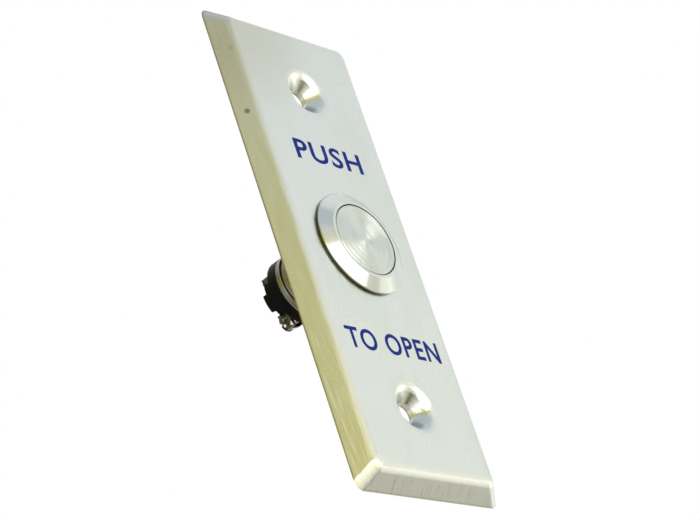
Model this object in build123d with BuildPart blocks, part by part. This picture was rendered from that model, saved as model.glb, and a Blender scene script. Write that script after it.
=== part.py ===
from build123d import *

from math import atan, cos, pi, radians, sin, tan

# Door exit button: a pressed stainless face plate with a round metal push button.
# Millimetres. +Z runs up the plate, the face looks towards -Y and y = 0 is the wall.
# The origin is on the button's axis, midway between the two fixing holes.

# Face plate
plate_width = 40.0
plate_length = 106.0
plate_depth = 3.6
flank_inset = 3.4
sheet = 1.2
fold_radius = 2.6
largest_fold_share = 0.9
rim_corner_radius = 2.0

# Fixing holes, each at the bottom of a pressed dimple
fixing_pitch = 71.0
fixing_hole_radius = 2.2
dimple_half_angle = 45.0
dimple_lip_radius = 2.5

# Bezel of the push button
flange_radius = 11.15
flange_wall = 0.65
flange_edge_radius = 0.25
bezel_height = 1.95
bezel_land = 0.6
cap_bore_radius = 7.9

# Barrel of the push button
neck_radius = 9.4
thread_depth = 0.45
thread_end_chamfer = 0.4
thread_reach = 6.0
rear_root_radius = 6.65
end_collar_radius = 7.0
end_collar_length = 1.1
barrel_reach = 12.5
lip_inner_radius = 5.5
lip_thickness = 0.6

# Push cap and its seal
cap_radius = 7.7
cap_edge = 0.12
cap_head_length = 1.3
cap_skirt_radius = 7.83
cap_top = 1.2
cap_wall = 1.48
cap_length = 5.2
press_travel = 1.6
seal_section_radius = 0.43
seal_below_ring = 3.35

# Plunger, its snap ring and its clip
plunger_disc = 1.2
hub_radius = 2.6
stem_radius = 1.6
clip_groove_depth = 0.5
clip_radius = 3.0
clip_thickness = 0.6
clip_opening = 1.5
snap_ring_thickness = 0.5
snap_ring_width = 1.1
snap_groove_depth = 0.4
snap_ring_opening = 3.2

# Springs
return_spring_radius = 4.6
return_spring_wire = 0.7
return_spring_turns = 4.25
contact_spring_length = 3.2
contact_spring_wire = 0.4
contact_spring_turns = 4.5

# Contacts
bridge_thickness = 0.5
bridge_pad_radius = 2.6
bridge_arm_width = 2.4
bridge_overhang = 1.1
contact_offset = 3.6
contact_radius = 0.9
contact_height = 0.4
retainer_radius = 2.3
retainer_thickness = 0.5
stem_tail = 0.3

# Plastic carrier in the barrel, and the terminal base behind it
insert_radius = 6.1
carrier_wall = 0.7
guide_wall = 1.4
base_flange_radius = 7.0
base_thickness = 2.7
base_rim_chamfer = 0.4
barrier_width = 3.6
barrier_radius = 6.2
barrier_height = 2.5
barrier_edge_radius = 0.4
end_wall_span = 7.0
end_wall_thickness = 1.2
end_wall_height = 1.1
terminal_turn = 20.0

# Terminals, with their screws and saddle clamps
terminal_offset = 4.0
terminal_plate_length = 6.2
terminal_plate_width = 3.4
strip_thickness = 0.7
leg_width = 2.0
leg_offset = 2.2
foot_overhang = 1.2
clamp_length = 4.6
clamp_width = 3.3
clamp_thickness = 0.7
clamp_foot_height = 1.7
clamp_foot_thickness = 0.6
tight_clamp_turn = -10.0
screw_shank_radius = 1.2
screw_end_wall = 1.45
screw_head_radius = 1.8
screw_head_height = 0.9
screw_head_round = 0.4
screw_slot_width = 0.6
screw_slot_depth = 0.5
loose_screw_lift = 1.1

# Panel nut, lock washer and gasket
nut_across_flats = 22.0
nut_thickness = 2.5
nut_chamfer_angle = 30.0
washer_radius = 11.7
washer_thickness = 0.7
washer_tooth_count = 12
washer_tooth_gap = 1.2
washer_tooth_length = 1.0
gasket_inner_radius = 9.8
gasket_width = 0.85
gasket_thickness = 0.45

# Clearances
panel_clearance = 0.1
insert_clearance = 0.05
running_clearance = 0.05
seal_clearance = 0.03
groove_clearance = 0.05
thread_clearance = 0.05
end_clearance = 0.15
contact_clearance = 0.05
seal_groove_clearance = 0.12

# Levels along the button's axis, from the front to the rear
face_y = -plate_depth
sheet_back_y = face_y + sheet
ring_y = face_y - bezel_height
cap_end_y = ring_y + cap_length
disc_front_y = ring_y + cap_top
disc_back_y = disc_front_y + plunger_disc
lip_front_y = cap_end_y + press_travel + end_clearance
carrier_front_y = lip_front_y + lip_thickness
hub_end_y = carrier_front_y - press_travel
guide_back_y = carrier_front_y + guide_wall
clip_back_y = guide_back_y + clip_thickness
bridge_front_y = clip_back_y + contact_spring_length
bridge_back_y = bridge_front_y + bridge_thickness
retainer_back_y = bridge_back_y + retainer_thickness
stem_end_y = retainer_back_y + stem_tail
moving_contact_y = bridge_back_y + contact_height
fixed_contact_y = moving_contact_y + press_travel + contact_clearance
foot_y = fixed_contact_y + contact_height
base_front_y = foot_y + strip_thickness
collar_front_y = barrel_reach - end_collar_length
base_back_y = barrel_reach + base_thickness
terminal_plate_y = base_back_y + strip_thickness
clamp_bridge_y = terminal_plate_y + clamp_foot_height
tight_screw_end_y = base_front_y + screw_end_wall
screw_length = clamp_bridge_y + clamp_thickness - tight_screw_end_y

# The tray's flanks lean in from its rim to its face
flank_angle = atan(flank_inset / plate_depth)

# Radii that follow from the fits
thread_root_radius = neck_radius - thread_depth
insert_bore_radius = insert_radius + insert_clearance
base_top_radius = base_flange_radius - base_rim_chamfer
bezel_land_radius = cap_bore_radius + bezel_land
cap_inner_radius = cap_skirt_radius - cap_wall
disc_radius = cap_inner_radius - groove_clearance
snap_groove_radius = cap_inner_radius + snap_groove_depth
clip_groove_radius = stem_radius - clip_groove_depth


def turn(*outline, height=0.0, mode=Mode.ADD):
    """Turn a closed outline of (radius, y) points about a line along Y at this height."""
    with BuildSketch(Plane.XY.offset(height)) as section:
        with BuildLine():
            Polyline(*outline, close=True)
        make_face()
    revolve(section.sketch, axis=Axis((0, 0, height), (0, 1, 0)), mode=mode)


def ring(inner, outer, front, back, mode=Mode.ADD):
    """Turn a plain ring between two radii and two levels."""
    turn((inner, front), (outer, front), (outer, back), (inner, back), mode=mode)


def terminal_plane(y):
    """The plane across the axis at y whose +Y runs from the upper to the lower terminal."""
    turned = radians(terminal_turn)
    return Plane(origin=(0, y, 0), x_dir=(cos(turned), 0, sin(turned)), z_dir=(0, 1, 0))


def tray_blank(width, length, depth, corner, fold):
    """A closed block with the tray's slanted flanks, its rim at the wall."""
    inset = depth * tan(flank_angle)
    with BuildPart() as blank:
        with BuildSketch(Plane.XZ):
            RectangleRounded(width, length, corner)
        with BuildSketch(Plane.XZ.offset(depth)):
            RectangleRounded(width - 2 * inset, length - 2 * inset, corner)
        loft(ruled=True)
        largest_fold = largest_fold_share * corner / tan((pi / 2 - flank_angle) / 2)
        face_edges = blank.faces().sort_by(Axis.Y)[0].edges()
        fillet(face_edges, radius=min(fold, largest_fold))
    return blank.part


# Face plate: one stainless sheet pressed into a shallow tray, dimpled at both fixing holes
rim_width = sheet / cos(flank_angle)
tray_outside = tray_blank(plate_width, plate_length, plate_depth, rim_corner_radius, fold_radius)
tray_inside = tray_blank(
    plate_width - 2 * rim_width,
    plate_length - 2 * rim_width,
    plate_depth - sheet,
    rim_corner_radius - sheet,
    fold_radius - sheet,
)
cone_slope = tan(radians(dimple_half_angle))
dimple_depth = plate_depth - sheet
hole_front_y = face_y + dimple_depth
cone_rim_radius = fixing_hole_radius + dimple_depth * cone_slope
cone_back_radius = fixing_hole_radius + sheet / cos(radians(dimple_half_angle)) - sheet * cone_slope
sheet_middle_y = face_y + sheet / 2

with BuildPart() as face_plate:
    add(tray_outside)
    add(tray_inside, mode=Mode.SUBTRACT)
    for height in (fixing_pitch / 2, -fixing_pitch / 2):
        turn(
            (0, sheet_middle_y),
            (cone_back_radius - sheet_middle_y * cone_slope, sheet_middle_y),
            (cone_back_radius, 0),
            (0, 0),
            height=height,
        )
        turn(
            (0, face_y),
            (cone_rim_radius, face_y),
            (fixing_hole_radius, hole_front_y),
            (fixing_hole_radius, 0),
            (0, 0),
            height=height,
            mode=Mode.SUBTRACT,
        )
    ring(0, neck_radius + panel_clearance, face_y, sheet_back_y, mode=Mode.SUBTRACT)
    dimple_rims = (
        face_plate.edges()
        .filter_by(GeomType.CIRCLE)
        .filter_by(lambda edge: abs(edge.radius - cone_rim_radius) < 0.001)
    )
    fillet(dimple_rims, radius=dimple_lip_radius)
face_plate.part.label = "face_plate"
export_step(face_plate.part, "parts/face_plate.step")

# Button housing: bezel and threaded barrel turned from one stainless bar
with BuildPart() as button_housing:
    turn(
        (cap_bore_radius, ring_y),
        (bezel_land_radius, ring_y),
        (flange_radius, face_y - flange_wall),
        (flange_radius, face_y),
        (neck_radius, face_y),
        (neck_radius, sheet_back_y),
        (thread_root_radius, sheet_back_y + thread_depth),
        (thread_root_radius, thread_reach - thread_end_chamfer),
        (thread_root_radius - thread_end_chamfer, thread_reach),
        (rear_root_radius, thread_reach),
        (rear_root_radius, collar_front_y),
        (end_collar_radius, collar_front_y),
        (end_collar_radius, barrel_reach),
        (insert_bore_radius, barrel_reach),
        (insert_bore_radius, carrier_front_y),
        (lip_inner_radius, carrier_front_y),
        (lip_inner_radius, lip_front_y),
        (cap_bore_radius, lip_front_y),
    )
    ring(
        gasket_inner_radius - groove_clearance,
        gasket_inner_radius + gasket_width + groove_clearance,
        face_y - gasket_thickness,
        face_y,
        mode=Mode.SUBTRACT,
    )
    flange_edge = (
        button_housing.edges()
        .filter_by(GeomType.CIRCLE)
        .filter_by(lambda edge: abs(edge.radius - flange_radius) < 0.001)
        .sort_by(Axis.Y)[0]
    )
    fillet(flange_edge, radius=flange_edge_radius)
button_housing.part.label = "button_housing"
export_step(button_housing.part, "parts/button_housing.step")

# Panel gasket: flat rubber ring in a groove under the flange
with BuildPart() as panel_gasket:
    ring(gasket_inner_radius, gasket_inner_radius + gasket_width, face_y - gasket_thickness, face_y)
panel_gasket.part.label = "panel_gasket"
export_step(panel_gasket.part, "parts/panel_gasket.step")

# Lock washer: spring steel ring with teeth round its inner edge
washer_back_y = sheet_back_y + washer_thickness
with BuildPart() as lock_washer:
    ring(neck_radius + panel_clearance, washer_radius, sheet_back_y, washer_back_y)
    with BuildSketch(Plane.XZ.offset(-washer_back_y)):
        with PolarLocations(neck_radius + panel_clearance, washer_tooth_count):
            Rectangle(2 * washer_tooth_length, washer_tooth_gap)
    extrude(amount=washer_thickness, mode=Mode.SUBTRACT)
lock_washer.part.label = "lock_washer"
export_step(lock_washer.part, "parts/lock_washer.step")

# Panel nut: thin hexagon nut with its rear corners chamfered
nut_back_y = washer_back_y + nut_thickness
nut_corner_radius = nut_across_flats / 2 / cos(pi / 6)
nut_chamfer_reach = nut_corner_radius - nut_across_flats / 2
with BuildPart() as panel_nut:
    with BuildSketch(Plane.XZ.offset(-nut_back_y)):
        RegularPolygon(nut_corner_radius, 6)
        Circle(thread_root_radius + thread_clearance, mode=Mode.SUBTRACT)
    extrude(amount=nut_thickness)
    turn(
        (0, washer_back_y),
        (nut_corner_radius + nut_thickness, washer_back_y),
        (nut_corner_radius + nut_thickness, nut_back_y),
        (nut_corner_radius, nut_back_y - nut_chamfer_reach * tan(radians(nut_chamfer_angle))),
        (nut_across_flats / 2, nut_back_y),
        (0, nut_back_y),
        mode=Mode.INTERSECT,
    )
panel_nut.part.label = "panel_nut"
export_step(panel_nut.part, "parts/panel_nut.step")

# Push cap: turned stainless cup with a groove for its seal and one for the snap ring
seal_radius = cap_bore_radius - seal_clearance - seal_section_radius
seal_y = ring_y + seal_below_ring + seal_section_radius
seal_groove_half = seal_section_radius + seal_groove_clearance
snap_ring_back_y = disc_back_y + snap_ring_thickness
with BuildPart() as push_cap:
    turn(
        (0, ring_y),
        (cap_radius - cap_edge, ring_y),
        (cap_radius, ring_y + cap_edge),
        (cap_radius, ring_y + cap_head_length),
        (cap_skirt_radius, ring_y + cap_head_length + cap_edge),
        (cap_skirt_radius, cap_end_y),
        (cap_inner_radius, cap_end_y),
        (cap_inner_radius, disc_front_y),
        (0, disc_front_y),
    )
    ring(
        seal_radius - seal_section_radius - seal_clearance,
        cap_skirt_radius,
        seal_y - seal_groove_half,
        seal_y + seal_groove_half,
        mode=Mode.SUBTRACT,
    )
    ring(cap_inner_radius, snap_groove_radius, disc_back_y, snap_ring_back_y, mode=Mode.SUBTRACT)
push_cap.part.label = "push_cap"
export_step(push_cap.part, "parts/push_cap.step")

# Cap seal: rubber ring of round section that slides in the bezel's bore
with BuildPart() as cap_seal:
    with BuildSketch(Plane.XY):
        with Locations((seal_radius, seal_y)):
            Circle(seal_section_radius)
    revolve(axis=Axis.Y)
cap_seal.part.label = "cap_seal"
export_step(cap_seal.part, "parts/cap_seal.step")

# Plunger: moulded disc, hub and stem in one piece, held in the cap
with BuildPart() as plunger:
    turn(
        (0, disc_front_y),
        (disc_radius, disc_front_y),
        (disc_radius, disc_back_y),
        (hub_radius, disc_back_y),
        (hub_radius, hub_end_y),
        (stem_radius, hub_end_y),
        (stem_radius, stem_end_y),
        (0, stem_end_y),
    )
    ring(clip_groove_radius, stem_radius, guide_back_y, clip_back_y, mode=Mode.SUBTRACT)
plunger.part.label = "plunger"
export_step(plunger.part, "parts/plunger.step")

# Snap ring: open wire ring that keeps the plunger's disc in the cap
snap_ring_radius = snap_groove_radius - groove_clearance
with BuildPart() as snap_ring:
    ring(snap_ring_radius - snap_ring_width, snap_ring_radius, disc_back_y, snap_ring_back_y)
    with BuildSketch(Plane.XZ.offset(-snap_ring_back_y)):
        with Locations((0, -snap_ring_radius)):
            Rectangle(snap_ring_opening, snap_ring_radius)
    extrude(amount=snap_ring_thickness, mode=Mode.SUBTRACT)
snap_ring.part.label = "snap_ring"
export_step(snap_ring.part, "parts/snap_ring.step")

# Stem clip: open washer in the stem's groove that stops the cap from coming out
with BuildPart() as stem_clip:
    ring(clip_groove_radius + groove_clearance, clip_radius, guide_back_y, clip_back_y)
    with BuildSketch(Plane.XZ.offset(-clip_back_y)):
        with Locations((0, -clip_radius)):
            Rectangle(clip_opening, 2 * clip_radius)
    extrude(amount=clip_thickness, mode=Mode.SUBTRACT)
stem_clip.part.label = "stem_clip"
export_step(stem_clip.part, "parts/stem_clip.step")


def coil_path(radius, wire, turns, front, back):
    """The centre line of a coil spring that stands between two levels."""
    length = back - front - wire
    return Helix(
        pitch=length / turns,
        height=length,
        radius=radius,
        center=(0, front + wire / 2, 0),
        direction=(0, 1, 0),
    )


# Return spring: between the plunger's disc and the carrier, round the hub
with BuildPart() as return_spring:
    with BuildLine() as return_path:
        coil_path(
            return_spring_radius, return_spring_wire, return_spring_turns, disc_back_y, carrier_front_y
        )
    with BuildSketch(Plane(origin=return_path.line @ 0, z_dir=return_path.line % 0)):
        Circle(return_spring_wire / 2)
    sweep(path=return_path.line, is_frenet=True)
return_spring.part.label = "return_spring"
export_step(return_spring.part, "parts/return_spring.step")

# Contact spring: on the stem, between the clip and the contact bridge
contact_spring_radius = stem_radius + running_clearance + contact_spring_wire / 2
with BuildPart() as contact_spring:
    with BuildLine() as contact_path:
        coil_path(
            contact_spring_radius,
            contact_spring_wire,
            contact_spring_turns,
            clip_back_y,
            bridge_front_y,
        )
    with BuildSketch(Plane(origin=contact_path.line @ 0, z_dir=contact_path.line % 0)):
        Circle(contact_spring_wire / 2)
    sweep(path=contact_path.line, is_frenet=True)
contact_spring.part.label = "contact_spring"
export_step(contact_spring.part, "parts/contact_spring.step")

# Contact bridge: brass strip that joins the two terminals when the cap is pressed
with BuildPart() as contact_bridge:
    with BuildSketch(terminal_plane(bridge_front_y)):
        Circle(bridge_pad_radius)
        Rectangle(bridge_arm_width, 2 * (contact_offset + bridge_overhang))
        Circle(stem_radius + running_clearance, mode=Mode.SUBTRACT)
    extrude(amount=bridge_thickness)
contact_bridge.part.label = "contact_bridge"
export_step(contact_bridge.part, "parts/contact_bridge.step")

# Bridge contacts: two silver contact faces on the bridge's arms
with BuildPart() as bridge_contacts:
    with BuildSketch(terminal_plane(bridge_back_y)):
        with Locations((0, contact_offset), (0, -contact_offset)):
            Circle(contact_radius)
    extrude(amount=contact_height)
bridge_contacts.part.label = "bridge_contacts"
export_step(bridge_contacts.part, "parts/bridge_contacts.step")

# Bridge retainer: push-on washer at the stem's end
with BuildPart() as bridge_retainer:
    ring(stem_radius + groove_clearance, retainer_radius, bridge_back_y, retainer_back_y)
bridge_retainer.part.label = "bridge_retainer"
export_step(bridge_retainer.part, "parts/bridge_retainer.step")

# Contact carrier: plastic cup in the barrel that guides the stem
with BuildPart() as contact_carrier:
    ring(stem_radius + running_clearance, insert_radius, carrier_front_y, guide_back_y)
    ring(insert_radius - carrier_wall, insert_radius, guide_back_y, base_front_y)
contact_carrier.part.label = "contact_carrier"
export_step(contact_carrier.part, "parts/contact_carrier.step")

# Terminal base: black moulding that closes the barrel, with a barrier between its terminals
# and a low wall along the rim at both ends of the barrier
with BuildPart() as terminal_base:
    turn(
        (0, base_front_y),
        (insert_radius, base_front_y),
        (insert_radius, barrel_reach),
        (base_flange_radius, barrel_reach),
        (base_flange_radius, base_back_y - base_rim_chamfer),
        (base_top_radius, base_back_y),
        (0, base_back_y),
    )
    with BuildSketch(terminal_plane(base_back_y)):
        Circle(barrier_radius)
        Rectangle(2 * barrier_radius, barrier_width, mode=Mode.INTERSECT)
    extrude(amount=barrier_height)
    barrier_rim = terminal_base.faces().sort_by(Axis.Y)[-1].edges()
    fillet(barrier_rim, radius=barrier_edge_radius)
    with BuildSketch(terminal_plane(base_back_y)):
        Circle(base_top_radius)
        Circle(base_top_radius - end_wall_thickness, mode=Mode.SUBTRACT)
        Rectangle(2 * base_top_radius, end_wall_span, mode=Mode.INTERSECT)
    extrude(amount=end_wall_height)
    for side in (1, -1):
        with BuildSketch(terminal_plane(base_front_y)):
            with Locations((leg_offset, side * contact_offset)):
                Rectangle(strip_thickness + 2 * insert_clearance, leg_width + 2 * insert_clearance)
        extrude(amount=base_back_y - base_front_y, mode=Mode.SUBTRACT)
        with BuildSketch(terminal_plane(base_back_y)):
            with Locations((0, side * terminal_offset)):
                Circle(screw_shank_radius + thread_clearance)
        extrude(amount=tight_screw_end_y - end_clearance - base_back_y, mode=Mode.SUBTRACT)
terminal_base.part.label = "terminal_base"
export_step(terminal_base.part, "parts/terminal_base.step")


def terminal(side):
    """One bent brass strip: contact foot inside, leg through the base, screw plate outside."""
    foot_end = leg_offset + strip_thickness / 2
    with BuildPart() as strip:
        with BuildSketch(terminal_plane(foot_y)):
            with Locations(((foot_end - foot_overhang) / 2, side * contact_offset)):
                Rectangle(foot_end + foot_overhang, leg_width)
        extrude(amount=strip_thickness)
        with BuildSketch(terminal_plane(foot_y)):
            with Locations((leg_offset, side * contact_offset)):
                Rectangle(strip_thickness, leg_width)
        extrude(amount=terminal_plate_y - foot_y)
        with BuildSketch(terminal_plane(base_back_y)):
            with Locations((0, side * terminal_offset)):
                Rectangle(terminal_plate_length, terminal_plate_width)
                Circle(screw_shank_radius + thread_clearance, mode=Mode.SUBTRACT)
        extrude(amount=strip_thickness)
    return strip.part


# Terminals: the lower one is common, the upper one is joined to it by a press
with BuildPart() as common_terminal:
    add(terminal(1))
common_terminal.part.label = "common_terminal"
export_step(common_terminal.part, "parts/common_terminal.step")

with BuildPart() as switched_terminal:
    add(terminal(-1))
switched_terminal.part.label = "switched_terminal"
export_step(switched_terminal.part, "parts/switched_terminal.step")

# Terminal contacts: silver contact faces on the feet of both terminals
with BuildPart() as terminal_contacts:
    with BuildSketch(terminal_plane(fixed_contact_y)):
        with Locations((0, contact_offset), (0, -contact_offset)):
            Circle(contact_radius)
    extrude(amount=contact_height)
terminal_contacts.part.label = "terminal_contacts"
export_step(terminal_contacts.part, "parts/terminal_contacts.step")

# Saddle clamps and slotted screws: the upper pair is tight, the lower pair stands loose
clamp_seats = (
    (-terminal_offset, terminal_plate_y, tight_clamp_turn),
    (terminal_offset, terminal_plate_y + loose_screw_lift, 0),
)
with BuildPart() as clamp_washers:
    for centre, seat_y, turned in clamp_seats:
        with BuildSketch(terminal_plane(seat_y)):
            with Locations((0, centre)):
                Rectangle(clamp_length, clamp_width, rotation=turned)
                Rectangle(
                    clamp_length - 2 * clamp_foot_thickness,
                    2 * clamp_width,
                    rotation=turned,
                    mode=Mode.SUBTRACT,
                )
        extrude(amount=clamp_foot_height)
        with BuildSketch(terminal_plane(seat_y + clamp_foot_height)):
            with Locations((0, centre)):
                Rectangle(clamp_length, clamp_width, rotation=turned)
                Circle(screw_shank_radius + thread_clearance, mode=Mode.SUBTRACT)
        extrude(amount=clamp_thickness)
clamp_washers.part.label = "clamp_washers"
export_step(clamp_washers.part, "parts/clamp_washers.step")

with BuildPart() as terminal_screws:
    for centre, seat_y, turned in clamp_seats:
        head_y = seat_y + clamp_foot_height + clamp_thickness
        with BuildSketch(terminal_plane(head_y)):
            with Locations((0, centre)):
                Circle(screw_head_radius)
        extrude(amount=screw_head_height)
        head_rim = terminal_screws.faces().sort_by(Axis.Y)[-1].edges()
        fillet(head_rim, radius=screw_head_round)
        with BuildSketch(terminal_plane(head_y + screw_head_height)):
            with Locations((0, centre)):
                Rectangle(2 * screw_head_radius, screw_slot_width)
        extrude(amount=-screw_slot_depth, mode=Mode.SUBTRACT)
        with BuildSketch(terminal_plane(head_y)):
            with Locations((0, centre)):
                Circle(screw_shank_radius)
        extrude(amount=-screw_length)
terminal_screws.part.label = "terminal_screws"
export_step(terminal_screws.part, "parts/terminal_screws.step")
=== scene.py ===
from math import degrees, pi

import bmesh
import bpy
from mathutils import Matrix, Vector


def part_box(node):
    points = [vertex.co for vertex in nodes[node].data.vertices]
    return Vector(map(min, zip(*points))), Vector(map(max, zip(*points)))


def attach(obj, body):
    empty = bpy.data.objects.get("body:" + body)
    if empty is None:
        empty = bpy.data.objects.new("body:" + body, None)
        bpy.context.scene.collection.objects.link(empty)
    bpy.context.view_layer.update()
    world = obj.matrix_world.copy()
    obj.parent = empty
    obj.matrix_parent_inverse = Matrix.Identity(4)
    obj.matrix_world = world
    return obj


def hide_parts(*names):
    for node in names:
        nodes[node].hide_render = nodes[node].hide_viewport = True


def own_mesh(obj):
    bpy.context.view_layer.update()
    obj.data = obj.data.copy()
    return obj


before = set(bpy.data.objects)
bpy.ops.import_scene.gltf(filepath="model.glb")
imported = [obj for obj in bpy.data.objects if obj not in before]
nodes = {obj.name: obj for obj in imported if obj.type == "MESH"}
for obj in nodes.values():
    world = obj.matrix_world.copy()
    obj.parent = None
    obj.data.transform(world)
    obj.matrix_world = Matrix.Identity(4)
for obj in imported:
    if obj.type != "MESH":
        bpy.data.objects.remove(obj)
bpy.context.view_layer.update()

mm = 0.001


# Face plate: one sheet of stainless steel, pressed into a shallow tray and dimpled at both screw holes.
# It was brushed along its length before it was pressed, so the grain runs over the folds as well.
# Handling has left a few hairlines and two small dark specks on it.


class Value:
    """A number that changes over a surface. Arithmetic on it adds Math nodes."""

    def __init__(self, finish, socket):
        self.finish = finish
        self.socket = socket

    def maths(self, operation, *values):
        return self.finish.maths(operation, *values)

    def __add__(self, other):
        return self.maths("ADD", self, other)

    def __sub__(self, other):
        return self.maths("SUBTRACT", self, other)

    def __rsub__(self, other):
        return self.maths("SUBTRACT", other, self)

    def __mul__(self, other):
        return self.maths("MULTIPLY", self, other)

    __radd__ = __add__
    __rmul__ = __mul__


class Finish:
    """One material made of nodes, on a Principled shader."""

    def __init__(self, name, metallic, specular=0.5):
        self.material = bpy.data.materials.new(name)
        self.material.use_nodes = True
        self.tree = self.material.node_tree
        self.shader = self.tree.nodes["Principled BSDF"]
        self.paint("Metallic", metallic)
        self.paint("Specular IOR Level", specular)

    def node(self, kind, settings, inputs, output=0):
        """Add any node: its settings first, then the numbers or links of its sockets."""
        made = self.tree.nodes.new(kind)
        for name, setting in settings.items():
            setattr(made, name, setting)
        for name, value in inputs.items():
            self.feed(made.inputs[name], value)
        return Value(self, made.outputs[output])

    def feed(self, socket, value):
        """Link a varying value to a socket, or set a plain one on it."""
        if isinstance(value, Value):
            self.tree.links.new(value.socket, socket)
        else:
            socket.default_value = value

    def paint(self, socket, value):
        """Give the shader's own socket a number, a colour or a link."""
        self.feed(self.shader.inputs[socket], value)

    def maths(self, operation, *values):
        return self.node("ShaderNodeMath", {"operation": operation}, dict(enumerate(values)))

    def vector(self, operation, *values, scale=1.0, output=0):
        inputs = dict(enumerate(values))
        if operation == "SCALE":
            inputs["Scale"] = scale
        return self.node("ShaderNodeVectorMath", {"operation": operation}, inputs, output)

    def position(self):
        """The place on the piece, in metres."""
        return self.node("ShaderNodeTexCoord", {}, {}, "Object")

    def normal(self):
        """The direction that the surface faces."""
        return self.node("ShaderNodeNewGeometry", {}, {}, "Normal")

    def part_of(self, vector, axis):
        """One part of a vector: X, Y or Z."""
        return self.node("ShaderNodeSeparateXYZ", {}, {"Vector": vector}, axis)

    def height(self, axis):
        """The place along one axis: X, Y or Z."""
        return self.part_of(self.position(), axis)

    def stretched(self, across, deep, along):
        """The place, scaled so that one unit holds the given number of marks to the metre."""
        inputs = {"Vector": self.position(), "Scale": (across, deep, along)}
        return self.node("ShaderNodeMapping", {}, inputs)

    def noise(self, place, detail=2.0, distortion=0.0):
        inputs = {"Vector": place, "Scale": 1.0, "Detail": detail, "Distortion": distortion}
        return self.node("ShaderNodeTexNoise", {}, inputs, "Fac")

    def grain(self, marks_per_metre, detail):
        """Noise that is as fine one way as another."""
        return self.noise(self.stretched(marks_per_metre, marks_per_metre, marks_per_metre), detail)

    def ramp(self, value, low, high):
        """0 below one level, 1 above the other, and smooth between."""
        settings = {"interpolation_type": "SMOOTHSTEP"}
        inputs = {"Value": value, "From Min": low, "From Max": high}
        return self.node("ShaderNodeMapRange", settings, inputs)

    def spot(self, centre, radius):
        """A round mark with a soft edge: 1 over the middle third, 0 beyond its radius."""
        away = self.vector("DISTANCE", self.position(), centre, output="Value")
        return 1 - self.ramp(away, radius * 0.35, radius)

    def stripe(self, value, middle, inner, outer):
        """A soft stripe: 1 where a value is within the inner distance of its middle, 0 past the outer."""
        away = self.maths("ABSOLUTE", value - middle)
        return 1 - self.ramp(away, inner, outer)

    def colour(self, mask, first, second):
        """The first colour where the mask is 0, the second where it is 1."""
        factor, colour_a, colour_b, result = 0, 6, 7, 2
        inputs = {factor: mask, colour_a: first, colour_b: second}
        return self.node("ShaderNodeMix", {"data_type": "RGBA"}, inputs, result)

    def mottled(self, value, low, high, first, second):
        """The first colour where a value is below one level, the second where it is above the other."""
        return self.colour(self.ramp(value, low, high), first, second)

    def leaned(self, across, grain):
        """The surface's normal, leaned across the grain as fine scratches lean it."""
        lean = self.vector("SCALE", across, scale=grain)
        return self.vector("NORMALIZE", self.vector("ADD", self.normal(), lean))

    def brushed_along(self, direction, grain):
        """The normal of a surface brushed in a straight direction."""
        across = self.vector("NORMALIZE", self.vector("CROSS_PRODUCT", self.normal(), direction))
        return self.leaned(across, grain)

    def from_axis(self):
        """The place's offset from the button's axis, which runs along Y."""
        return self.vector("MULTIPLY", self.position(), (1, 0, 1))

    def turned(self, marks_per_metre, lean):
        """The normal of a surface turned on a lathe, leaned towards and from the axis ring by ring."""
        offset = self.from_axis()
        radius = self.vector("LENGTH", offset, output="Value")
        inputs = {"W": radius, "Scale": marks_per_metre}
        ring = self.node("ShaderNodeTexNoise", {"noise_dimensions": "1D"}, inputs)
        return self.leaned(self.vector("NORMALIZE", offset), (ring - 0.5) * lean)

    def put_on(self, *pieces):
        """Assign the material to every slot of the pieces."""
        for piece in pieces:
            piece.data.materials.clear()
            piece.data.materials.append(self.material)


def as_light(part):
    """The strength of light behind one part of a screen colour, from 0 to 255."""
    if part <= 10:
        return part / 255 / 12.92
    return ((part / 255 + 0.055) / 1.055) ** 2.4


def shade(red, green, blue):
    """A colour given as it looks on a screen, from 0 to 255."""
    return (as_light(red), as_light(green), as_light(blue), 1.0)


plate_finish = Finish("brushed_plate_steel", metallic=1.0)
plate_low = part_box("face_plate")[0]
face_y = plate_low.y
hole_levels = (35.5 * mm, -35.5 * mm)
clean_steel = shade(207, 213, 212)
cloudy_steel = shade(202, 209, 205)
streak_and_rim_shade_steel = shade(178, 178, 158)
smudged_steel = shade(188, 190, 178)
hairline_steel = shade(190, 193, 187)
outer_edge_shade_steel = shade(122, 110, 72)
speck_grey = shade(92, 90, 66)
low_fold_highlight_steel = shade(248, 250, 244)
left_fold_shade_steel = shade(196, 200, 186)
lip_highlight_steel = shade(250, 251, 243)
dimple_shade_steel = shade(176, 188, 188)
corner_shade_steel = shade(214, 214, 198)
plate_x, plate_y, plate_z = (plate_finish.height(axis) for axis in "XYZ")

# Broad clouds in the steel, and fine streaks along the grain that show most on the lower flank.
cloud = plate_finish.noise(plate_finish.stretched(90, 90, 45), detail=3.0, distortion=0.6)
tone = plate_finish.mottled(cloud, 0.4, 0.66, clean_steel, cloudy_steel)
below_face = 1 - plate_finish.ramp(plate_z, plate_low.z + 1.6 * mm, plate_low.z + 3.2 * mm)
streak = plate_finish.noise(plate_finish.stretched(1900, 300, 55))
streaked = plate_finish.ramp(streak, 0.5, 0.78) * (below_face * 0.6 + 0.05)
tone = plate_finish.colour(streaked, tone, streak_and_rim_shade_steel)

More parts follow.
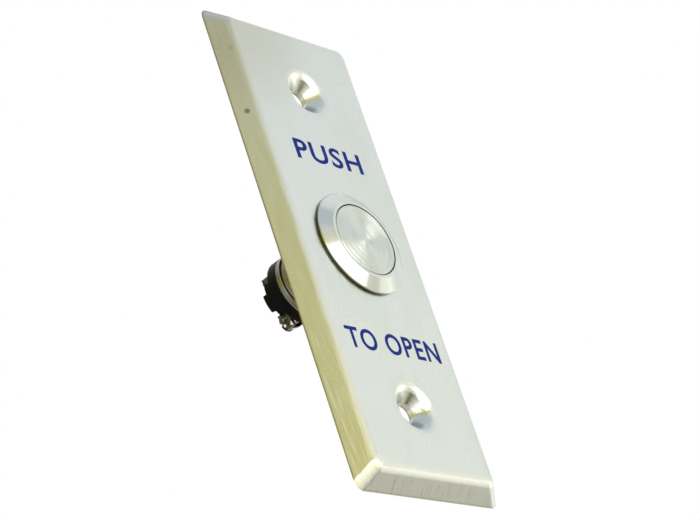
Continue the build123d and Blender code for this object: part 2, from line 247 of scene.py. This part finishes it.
# A smudge at the upper left corner, and faint hairlines in broken arcs.
smudge = plate_finish.spot(Vector((-20, -3.6, 54)) * mm, 30 * mm)
tone = plate_finish.colour(smudge * 0.75, tone, smudged_steel)
swirl = plate_finish.node(
    "ShaderNodeTexWave",
    {"wave_type": "RINGS", "rings_direction": "Y"},
    {"Vector": plate_finish.stretched(52, 52, 30), "Scale": 1.0, "Distortion": 1.0, "Detail": 0.0},
    "Fac",
)
broken = plate_finish.ramp(plate_finish.noise(plate_finish.stretched(120, 120, 70)), 0.52, 0.62)
hairline = plate_finish.ramp(swirl, 0.995, 1.0) * broken
tone = plate_finish.colour(hairline * 0.05, tone, hairline_steel)

# Painted shade on the rim's last half millimetre before the wall, at Y = 0, and the dark specks.
rim_shade = plate_finish.ramp(plate_y, -0.45 * mm, -0.1 * mm)
tone = plate_finish.colour(rim_shade * 0.55, tone, streak_and_rim_shade_steel)
# The painted shade is darkest at the rim's outer edge, except on the lower flank.
outer_edge_shade = plate_finish.ramp(plate_y, -0.26 * mm, -0.04 * mm) * (1 - below_face)
tone = plate_finish.colour(outer_edge_shade * 0.75, tone, outer_edge_shade_steel)
for speck_place, speck_radius, speck_depth in (
    (Vector((-18.2, -1.9, 27.8)), 0.8, 0.7),
    (Vector((-17.6, -2.5, 42.5)), 0.7, 0.2),
):
    speck = plate_finish.spot(speck_place * mm, speck_radius * mm)
    tone = plate_finish.colour(speck * speck_depth, tone, speck_grey)

# Painted highlight on the lower fold, and painted shade, darker and yellower further down, on the left
# fold.
front_half = 1 - plate_finish.ramp(plate_y, -3.0 * mm, -2.6 * mm)
low_fold_highlight = plate_finish.stripe(plate_z, -50.0 * mm, 0.33 * mm, 1.1 * mm) * front_half
tone = plate_finish.colour(low_fold_highlight * 0.75, tone, low_fold_highlight_steel)
left_fold_shade = plate_finish.stripe(plate_x, -16.6 * mm, 0.45 * mm, 1.5 * mm) * front_half
further_down = 1 - plate_finish.ramp(plate_z, -40 * mm, 0)
tone = plate_finish.colour(left_fold_shade * (further_down * 0.5 + 0.4), tone, left_fold_shade_steel)

# Painted highlight on each dimple's lip at its upper left, and painted shade on its slope below the hole.
dipped = plate_finish.ramp(plate_y, face_y + 0.02 * mm, face_y + 0.3 * mm)
turned_to_front = 0 - plate_finish.part_of(plate_finish.normal(), "Y")
on_lip = dipped * plate_finish.ramp(turned_to_front, 0.05, 0.3)
for hole_z in hole_levels:
    lip_highlight = plate_finish.spot(Vector((-3.0 * mm, -3.3 * mm, hole_z + 4.0 * mm)), 5.0 * mm) * on_lip
    tone = plate_finish.colour(lip_highlight * 0.85, tone, lip_highlight_steel)
    dimple_shade = plate_finish.spot(Vector((1.3 * mm, -2.8 * mm, hole_z - 3.4 * mm)), 3.0 * mm) * dipped
    tone = plate_finish.colour(dimple_shade * 0.8, tone, dimple_shade_steel)

# The two folds meet in a mitre at the lower left corner, left matt by the press, with painted shade on it.
on_mitre = plate_finish.stripe(plate_x - plate_z, plate_low.x - plate_low.z, 0.9 * mm, 1.9 * mm)
matt_and_shaded_corner = plate_finish.spot(Vector((-18.0, -2.0, -51.0)) * mm, 6.0 * mm) * on_mitre
tone = plate_finish.colour(matt_and_shaded_corner * 0.6, tone, corner_shade_steel)
plate_finish.paint("Base Color", tone)

# The brushing runs along Z. It is a little smoother round the dimples and rougher at the corner.
pressed = sum(plate_finish.spot(Vector((0, -2.4 * mm, hole_z)), 9 * mm) for hole_z in hole_levels)
roughness = plate_finish.ramp(cloud, 0.2, 0.8) * 0.08 + 0.24 - pressed * 0.05 + matt_and_shaded_corner * 0.34
plate_finish.paint("Roughness", roughness)
brushing = plate_finish.noise(plate_finish.stretched(7500, 7500, 160), detail=3.0)
brushed_normal = plate_finish.brushed_along(direction=(0, 0, 1), grain=(brushing - 0.5) * 0.6)
plate_finish.paint("Normal", brushed_normal)
plate_finish.put_on(nodes["face_plate"])


# Legends: two lines of blue ink, screen printed on the face above and below the button.
# The ink is a thin even film, slightly paler where the screen's mesh let less through.
ink_finish = Finish("blue_legend_ink", metallic=0.0, specular=0.05)
full_ink = shade(20, 38, 118)
thin_ink = shade(34, 54, 138)
mesh_print = ink_finish.grain(2600, detail=2.0)
ink_finish.paint("Base Color", ink_finish.mottled(mesh_print, 0.42, 0.75, full_ink, thin_ink))
ink_finish.paint("Roughness", mesh_print * 0.2 + 0.4)

ink_thickness = 0.035 * mm
ink_sunk = 0.005 * mm
bolder_stroke = 0.016
wider_spacing = 1.12


def in_scene(name, mesh):
    """Put a mesh in the scene, as an object at the origin."""
    piece = bpy.data.objects.new(name, mesh)
    bpy.context.scene.collection.objects.link(piece)
    return piece


def legend(name, words, middle, cap_height, line_width):
    """Print one line of words on the face, centred on its middle."""
    letters = bpy.data.curves.new(name, "FONT")
    letters.body = words
    letters.resolution_u = 6
    letters.offset = bolder_stroke
    letters.space_character = wider_spacing
    letters.extrude = 0.5
    drawn = bpy.data.objects.new(name, letters)
    mesh = bpy.data.meshes.new_from_object(drawn)
    bpy.data.objects.remove(drawn)
    corners = [Vector(vertex.co) for vertex in mesh.vertices]
    low = Vector(map(min, *corners))
    high = Vector(map(max, *corners))
    mesh.transform(Matrix.Translation(-(low + high) / 2))
    film = ink_thickness + ink_sunk
    mesh.transform(Matrix.Diagonal((line_width / (high.x - low.x), cap_height / (high.y - low.y), film, 1)))
    mesh.transform(Matrix.Rotation(pi / 2, 4, "X"))
    film_middle = face_y - ink_thickness + film / 2
    mesh.transform(Matrix.Translation((middle.x, film_middle, middle.z)))
    piece = in_scene(name, mesh)
    ink_finish.put_on(piece)
    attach(piece, "housing")


above_button = Vector((0, 0, 20.35)) * mm
below_button = Vector((0.1, 0, -22.15)) * mm
legend("legend_above", "PUSH", above_button, cap_height=4.7 * mm, line_width=19.0 * mm)
legend("legend_below", "TO OPEN", below_button, cap_height=4.6 * mm, line_width=26.2 * mm)


# Button housing: bezel and barrel turned from one stainless bar, then screwed through the plate.
# The bezel's cone is finely turned and polished. The barrel keeps its cutting oil and a cut thread,
# which is its own piece here because the solid's barrel is plain at the thread's root.
housing_finish = Finish("turned_housing_steel", metallic=1.0)
housing_y = housing_finish.height("Y")
feed_marks = housing_finish.noise(housing_finish.stretched(60, 9000, 60), detail=1.0)
oiled_steel = housing_finish.mottled(feed_marks, 0.35, 0.6, shade(84, 80, 64), shade(150, 148, 138))
polished = housing_finish.grain(240, detail=2.0)
bezel_steel = housing_finish.mottled(polished, 0.4, 0.7, shade(208, 214, 212), shade(200, 206, 202))
# Painted shade: the bezel's foot next to the plate is painted dark brown.
bezel_foot_shade = housing_finish.ramp(housing_y, face_y - 0.62 * mm, face_y - 0.3 * mm)
bezel_steel = housing_finish.colour(bezel_foot_shade, bezel_steel, shade(84, 76, 54))
behind_plate = housing_finish.ramp(housing_y, face_y, face_y + 0.8 * mm)
housing_finish.paint("Base Color", housing_finish.colour(behind_plate, bezel_steel, oiled_steel))
housing_finish.paint("Roughness", behind_plate * 0.16 + 0.14)
housing_finish.paint("Normal", housing_finish.turned(marks_per_metre=9000, lean=0.3))
housing_finish.put_on(nodes["button_housing"])

barrel_root, barrel_crest = 8.95 * mm, 9.4 * mm
rear_root, rear_crest = 6.65 * mm, 7.0 * mm
thread_finish = Finish("cut_thread_steel", metallic=1.0)
thread_grime = thread_finish.grain(700, detail=3.0)
grimy_steel = thread_finish.mottled(thread_grime, 0.35, 0.65, shade(52, 44, 26), shade(88, 80, 54))
# The crests are painted lighter, partly rubbed bare and partly a painted highlight.
from_axis = thread_finish.vector("LENGTH", thread_finish.from_axis(), output="Value")
rubbed_and_highlit_crest = thread_finish.ramp(from_axis, rear_root, rear_crest)
thread_finish.paint("Base Color", thread_finish.colour(rubbed_and_highlit_crest, grimy_steel, shade(150, 146, 126)))
thread_finish.paint("Roughness", thread_grime * 0.3 + 0.22)

thread_pitch = 1.0 * mm
steps_per_turn = 96
root_sunk = 0.04 * mm
crest_flat = 0.14 * mm
root_half = thread_pitch * 0.47


def built(name, made):
    """Turn a finished bmesh into an object in the scene."""
    mesh = bpy.data.meshes.new(name)
    made.to_mesh(mesh)
    made.free()
    return in_scene(name, mesh)


def cut_thread(name, root, crest, front, back):
    """One screw thread round the button's axis, swept as a helix between two levels."""
    made = bmesh.new()
    outline = [
        made.verts.new((root - root_sunk, front, 0)),
        made.verts.new((crest, front + root_half - crest_flat / 2, 0)),
        made.verts.new((crest, front + root_half + crest_flat / 2, 0)),
        made.verts.new((root - root_sunk, front + 2 * root_half, 0)),
    ]
    section = made.faces.new(outline)
    steps = round(((back - front) / thread_pitch - 1) * steps_per_turn)
    bmesh.ops.spin(
        made,
        geom=[section, *section.edges, *section.verts],
        cent=(0, 0, 0),
        axis=(0, 1, 0),
        dvec=(0, thread_pitch / steps_per_turn, 0),
        angle=2 * pi * steps / steps_per_turn,
        steps=steps,
        use_merge=False,
    )
    bmesh.ops.recalc_face_normals(made, faces=made.faces)
    piece = built(name, made)
    thread_finish.put_on(piece)
    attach(piece, "housing")


cut_thread("barrel_thread", barrel_root, barrel_crest, front=0.5 * mm, back=5.9 * mm)
cut_thread("rear_thread", rear_root, rear_crest, front=6.4 * mm, back=11.4 * mm)


# Seals: a flat gasket in the groove under the bezel, and a ring of round section on the cap.
# Both are black nitrile rubber, moulded, with a dull bloom and a little dust on them.
rubber_finish = Finish("black_seal_rubber", metallic=0.0, specular=0.3)
clean_rubber = shade(24, 24, 25)
dusty_rubber = shade(54, 53, 51)
bloom = rubber_finish.grain(900, detail=4.0)
rubber_finish.paint("Base Color", rubber_finish.mottled(bloom, 0.45, 0.8, clean_rubber, dusty_rubber))
rubber_finish.paint("Roughness", bloom * 0.25 + 0.58)
rubber_finish.put_on(nodes["panel_gasket"], nodes["cap_seal"])


# Push cap: a stainless cup turned on a lathe, its flat face brushed in fine rings round the centre.
# The rings spread each light into two opposite fans, the look of a turned disc.
cap_finish = Finish("ring_brushed_cap_steel", metallic=1.0)
cap_steel = shade(200, 207, 202)
cloudy_cap_steel = shade(195, 202, 197)
cap_cloud = cap_finish.grain(200, detail=3.0)
cap_finish.paint("Base Color", cap_finish.mottled(cap_cloud, 0.35, 0.7, cap_steel, cloudy_cap_steel))
cap_finish.paint("Roughness", cap_cloud * 0.1 + 0.15)
cap_finish.paint("Normal", cap_finish.turned(marks_per_metre=11000, lean=2.3))
cap_finish.put_on(nodes["push_cap"])


# Nut and lock washer: steel, nickel plated, that clamp the plate between bezel and nut from behind.
# The plating is bright with faint turning marks, and duller in patches where it was handled.
plated_finish = Finish("nickel_plated_steel", metallic=1.0)
bright_nickel = shade(206, 203, 192)
handled_nickel = shade(176, 170, 150)
handling = plated_finish.grain(160, detail=4.0)
plated_finish.paint("Base Color", plated_finish.mottled(handling, 0.4, 0.68, bright_nickel, handled_nickel))
plated_finish.paint("Roughness", plated_finish.ramp(handling, 0.3, 0.8) * 0.2 + 0.18)
plated_finish.paint("Normal", plated_finish.turned(marks_per_metre=5000, lean=0.25))
plated_finish.put_on(nodes["panel_nut"], nodes["lock_washer"])


# Springs, snap ring, stem clip and bridge retainer: hard spring steel, oil blackened and drawn.
# They sit inside the barrel and cap, bright only where they rub.
# The return spring is seated in the housing.
spring_finish = Finish("oiled_spring_steel", metallic=1.0)
oiled_wire = shade(128, 126, 120)
rubbed_wire = shade(168, 166, 160)
rubbing = spring_finish.grain(500, detail=3.0)
spring_finish.paint("Base Color", spring_finish.mottled(rubbing, 0.45, 0.65, oiled_wire, rubbed_wire))
spring_finish.paint("Roughness", rubbing * 0.25 + 0.2)
spring_parts = ("snap_ring", "stem_clip", "return_spring", "contact_spring", "bridge_retainer")
spring_finish.put_on(*[nodes[name] for name in spring_parts])

wire = bmesh.new()
wire.from_mesh(nodes["return_spring"].data)
bmesh.ops.remove_doubles(wire, verts=wire.verts, dist=0.001 * mm)
for face in wire.faces:
    face.smooth = True
return_wire = built("return_spring_wire", wire)
spring_finish.put_on(return_wire)
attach(return_wire, "housing")
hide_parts("return_spring")
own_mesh(return_wire)


# Contacts: a stamped brass bridge on the stem with riveted silver faces, and silver faces on both feet.
# The brass is tarnished brown in patches and the silver has a grey bloom.
brass_finish = Finish("stamped_contact_brass", metallic=1.0)
clean_brass = shade(214, 178, 104)
brown_brass = shade(160, 122, 66)
tarnish = brass_finish.grain(420, detail=4.0)
brass_finish.paint("Base Color", brass_finish.mottled(tarnish, 0.42, 0.66, clean_brass, brown_brass))
brass_finish.paint("Roughness", tarnish * 0.3 + 0.18)
brass_finish.put_on(nodes["contact_bridge"])

silver_finish = Finish("contact_silver", metallic=1.0)
clean_silver = shade(232, 230, 224)
grey_silver = shade(196, 193, 184)
silver_bloom = silver_finish.grain(800, detail=3.0)
silver_finish.paint("Base Color", silver_finish.mottled(silver_bloom, 0.4, 0.7, clean_silver, grey_silver))
silver_finish.paint("Roughness", silver_bloom * 0.25 + 0.2)
silver_finish.put_on(nodes["bridge_contacts"], nodes["terminal_contacts"])


# Plunger, contact carrier and terminal base: black glass-filled nylon, injection moulded.
# The skin is satin with a fine spark-eroded texture, and pale dust lies on it in patches.
plastic_finish = Finish("black_moulded_nylon", metallic=0.0, specular=0.06)
black_nylon = shade(10, 12, 12)
dusty_nylon = shade(52, 52, 48)
moulded = plastic_finish.grain(3200, detail=2.0)
dust = plastic_finish.ramp(plastic_finish.grain(1300, detail=5.0), 0.6, 0.78)
plastic_finish.paint("Base Color", plastic_finish.colour(dust * 0.16, black_nylon, dusty_nylon))
plastic_finish.paint("Roughness", moulded * 0.22 + 0.3)
plastic_skin = {"Strength": 0.35, "Distance": 0.02 * mm, "Height": moulded}
plastic_finish.paint("Normal", plastic_finish.node("ShaderNodeBump", {}, plastic_skin))
plastic_finish.put_on(nodes["plunger"], nodes["contact_carrier"], nodes["terminal_base"])


# Terminals, clamp washers and screws: brass strip and steel screws, dull nickel plated.
# The plating is painted dark olive grey, with small bright spots that are painted highlights.
terminal_finish = Finish("dull_nickel_terminal", metallic=1.0)
olive_mottle = terminal_finish.grain(650, detail=4.0)
dull_nickel = terminal_finish.mottled(olive_mottle, 0.38, 0.6, shade(84, 80, 60), shade(50, 46, 28))
painted_glints = terminal_finish.ramp(terminal_finish.grain(800, detail=1.0), 0.62, 0.7)
terminal_finish.paint("Base Color", terminal_finish.colour(painted_glints, dull_nickel, shade(226, 224, 212)))
terminal_finish.paint("Roughness", olive_mottle * 0.3 + 0.16)
terminal_parts = ("common_terminal", "switched_terminal", "clamp_washers", "terminal_screws")
terminal_finish.put_on(*[nodes[name] for name in terminal_parts])


# Mirrored room: steel looks like what stands round it, so a room is painted inside a large dome.
# It is white, with a bright window in front, a buff wall on the left and a grey ceiling.
# Only reflections see the dome. It is hidden from the camera, casts no shadow and lights no surface.
dome_radius = 1.5
dome = bmesh.new()
bmesh.ops.create_icosphere(dome, subdivisions=5, radius=dome_radius)
bmesh.ops.reverse_faces(dome, faces=dome.faces)
mirrored_room = built("mirrored_room", dome)
mirrored_room.visible_camera = False
mirrored_room.visible_shadow = False
mirrored_room.visible_diffuse = False
mirrored_room.visible_transmission = False

# Headings are degrees to the right of straight in front of the plate, and rises degrees above level.
room_finish = Finish("mirrored_room", metallic=0.0, specular=0.0)
heading = room_finish.maths("ARCTAN2", room_finish.height("X"), 0 - room_finish.height("Y")) * degrees(1)
just_under_one = 0.999
sine_of_rise = room_finish.height("Z") * (just_under_one / dome_radius)
rise = room_finish.maths("ARCSINE", sine_of_rise) * degrees(1)


def band(value, low, high, soft):
    """1 between two angles, fading to 0 over the soft angle outside them."""
    return room_finish.ramp(value, low - soft, low) * (1 - room_finish.ramp(value, high, high + soft))


def patch(headings, rises):
    """A soft-edged patch of the room. Each span is its low angle, its high angle and its soft edge."""
    return band(heading, *headings) * band(rise, *rises)


room = (1.0, 1.0, 1.0, 1.0)
buff_wall = room_finish.mottled(rise, 18, 36, (0.82, 0.72, 0.23, 1), (0.59, 0.53, 0.24, 1))
for shown, glow in (
    # The room's floor, the bright wall on the right, the end of that wall and the light above it.
    (1 - room_finish.ramp(rise, -38, -18), (0.7, 0.65, 0.5, 1)),
    (patch((-2, 62, 22), (-8, 10, 9)), (1.3, 1.25, 1.08, 1)),
    (patch((66, 92, 8), (-14, -1, 5)), (1.5, 1.46, 1.3, 1)),
    (patch((30, 64, 8), (16, 25, 5)), (1.12, 1.12, 1.03, 1)),
    # The buff wall on the left, the grey ceiling and a dark fitting high on the right.
    (patch((-130, -22, 38), (6, 44, 8)), buff_wall),
    (patch((-60, 18, 20), (38, 80, 8)), (0.68, 0.72, 0.77, 1)),
    (patch((80, 104, 8), (58, 72, 8)), (0.32, 0.36, 0.36, 1)),
    # A dark mat below, the cream post beside the window, and the window itself.
    (patch((4, 34, 7), (-52, -36, 5)), (0.16, 0.15, 0.05, 1)),
    (patch((33, 47, 4), (-20, 5, 5)), (0.88, 0.85, 0.7, 1)),
    (patch((-28, 28, 5), (-13, 12, 5)), (4.2, 3.95, 3.4, 1)),
):
    room = room_finish.colour(shown, room, glow)
room_finish.paint("Base Color", (0, 0, 0, 1))
room_finish.paint("Emission Color", room)
room_finish.paint("Emission Strength", 1.0)
room_finish.put_on(mirrored_room)


# Studio: a pale floor well below the part, a white world, and two soft lamps, in front and above.
# The world is white to what sees or mirrors it, and a softer fill to what it lights.
# The floor and the lamps don't show in the steel, which mirrors the room instead.
floor_level = -0.6
floor_half = 6.0
floor_grid = bmesh.new()
bmesh.ops.create_grid(floor_grid, x_segments=1, y_segments=1, size=floor_half)
bmesh.ops.translate(floor_grid, vec=(0, 0, floor_level), verts=floor_grid.verts)
floor = built("studio_floor", floor_grid)
floor.visible_glossy = False
floor_finish = Finish("pale_floor", metallic=0.0, specular=0.0)
floor_tones = ((0.74, 0.74, 0.66, 1), (0.78, 0.78, 0.71, 1))
floor_cloud = floor_finish.grain(3, detail=2.0)
floor_finish.paint("Base Color", floor_finish.colour(floor_cloud, *floor_tones))
floor_finish.paint("Roughness", 0.9)
floor_finish.put_on(floor)

world = bpy.data.worlds.new("white_studio")
bpy.context.scene.world = world
world.use_nodes = True
sky = world.node_tree
sky.nodes.clear()
rays = sky.nodes.new("ShaderNodeLightPath")
shown_white = rays.outputs["Is Camera Ray"]
for other_ray in ("Is Glossy Ray", "Is Transmission Ray"):
    either = sky.nodes.new("ShaderNodeMath")
    either.operation = "MAXIMUM"
    sky.links.new(shown_white, either.inputs[0])
    sky.links.new(rays.outputs[other_ray], either.inputs[1])
    shown_white = either.outputs[0]
fill_or_white = sky.nodes.new("ShaderNodeMixShader")
sky.links.new(shown_white, fill_or_white.inputs["Fac"])
fill_strength = 0.55
white_strength = 1.0
for place, strength in ((1, fill_strength), (2, white_strength)):
    background = sky.nodes.new("ShaderNodeBackground")
    background.inputs["Color"].default_value = (1, 1, 1, 1)
    background.inputs["Strength"].default_value = strength
    sky.links.new(background.outputs[0], fill_or_white.inputs[place])
world_output = sky.nodes.new("ShaderNodeOutputWorld")
sky.links.new(fill_or_white.outputs[0], world_output.inputs["Surface"])


def soft_lamp(name, direction, distance, size, power, tint):
    """A square soft lamp that stands off in a direction and shines at the part."""
    away = Vector(direction).normalized()
    lamp = bpy.data.lights.new(name, "AREA")
    lamp.size = size
    lamp.energy = power
    lamp.color = tint
    stand = bpy.data.objects.new(name, lamp)
    facing = away.to_track_quat("Z", "Y").to_matrix().to_4x4()
    stand.matrix_world = Matrix.Translation(away * distance) @ facing
    stand.visible_camera = False
    stand.visible_glossy = False
    bpy.context.scene.collection.objects.link(stand)


daylight = (1.0, 0.99, 0.93)
plain_white = (1.0, 1.0, 1.0)
soft_lamp("window_lamp", (0.42, -0.9, 0.0), distance=1.3, size=0.75, power=8.0, tint=daylight)
soft_lamp("top_lamp", (-0.1, -0.5, 0.9), distance=1.5, size=0.9, power=6.0, tint=plain_white)


# Camera: on the left and a little below the plate, looking up along it, as in the photograph.
# Its place, turn and lens come from where the plate's outline, holes and button stand in the picture.
camera_data = bpy.data.cameras.new("photo_camera")
camera_data.lens = 130.501
camera_data.sensor_width = 36.0
camera_data.clip_start = 0.05
camera_data.clip_end = 50.0
camera = bpy.data.objects.new("photo_camera", camera_data)
camera_place = Vector((-353.578, -252.686, -218.386)) * mm
camera_right = Vector((0.66696, -0.68694, -0.28856))
camera_back = Vector((-0.72839, -0.51958, -0.44664))
camera_up = camera_back.cross(camera_right)
camera_turn = Matrix((camera_right, camera_up, camera_back)).transposed().to_4x4()
camera.matrix_world = Matrix.Translation(camera_place) @ camera_turn
bpy.context.scene.collection.objects.link(camera)
bpy.context.scene.camera = camera
bpy.context.scene.view_settings.view_transform = "Standard"
